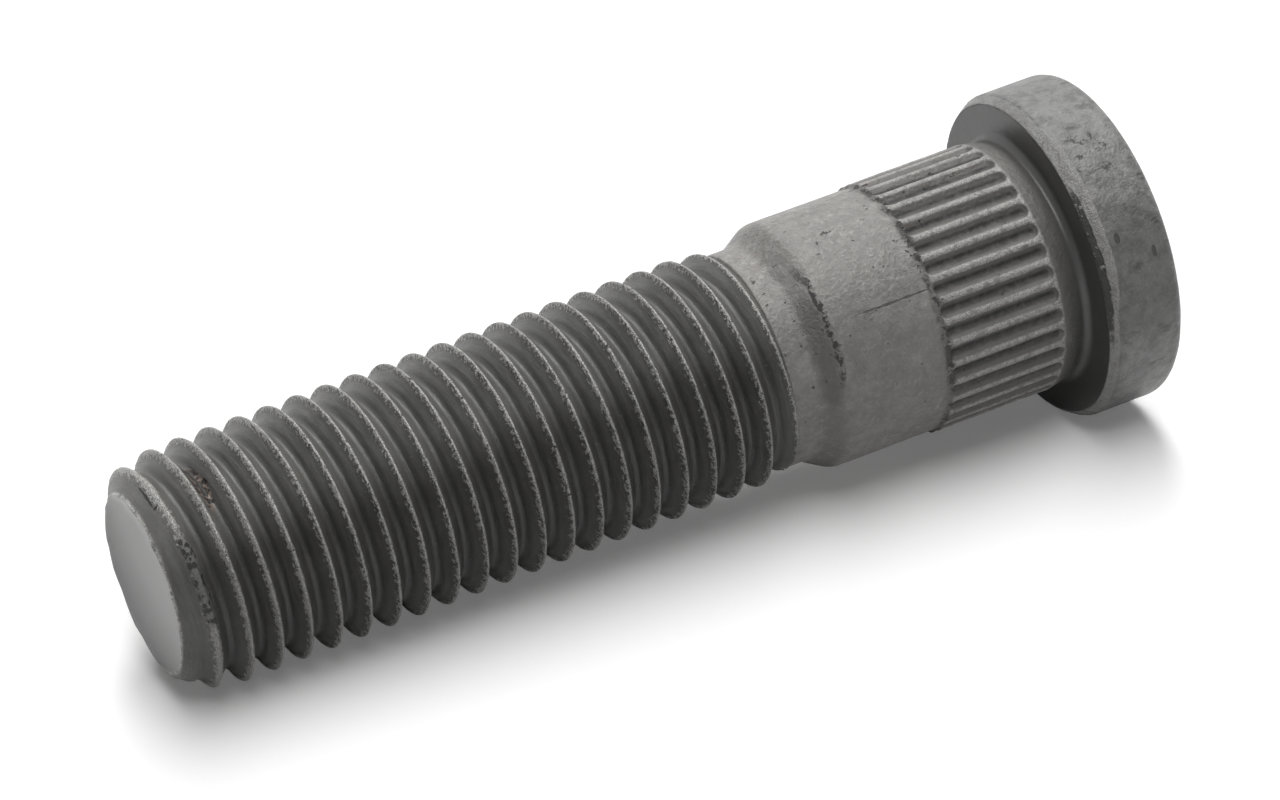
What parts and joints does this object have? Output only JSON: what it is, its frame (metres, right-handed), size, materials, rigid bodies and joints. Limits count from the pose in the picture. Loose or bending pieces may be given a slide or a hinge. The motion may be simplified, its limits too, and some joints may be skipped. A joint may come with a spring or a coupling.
{
  "type": "press-in wheel bolt",
  "caption": "Steel wheel bolt with a flat round head, a splined collar that presses into the hub, a plain pilot shank with a coned shoulder, a neck and a long rolled thread with a flat point.",
  "frame": {"origin": "centre of the head's flat outer face, on which the bolt stands", "axes": "+Z along the bolt's axis, from the head to the point; +X through the side that is uppermost as the bolt lies in the picture"},
  "size_m": [0.0166, 0.0166, 0.0512],
  "materials": {
    "steel": "matt phosphated steel, worn bright on the crests and ribs"
  },
  "bodies": {
    "root": {"wheel_bolt": "steel"}
  },
  "joints": []
}
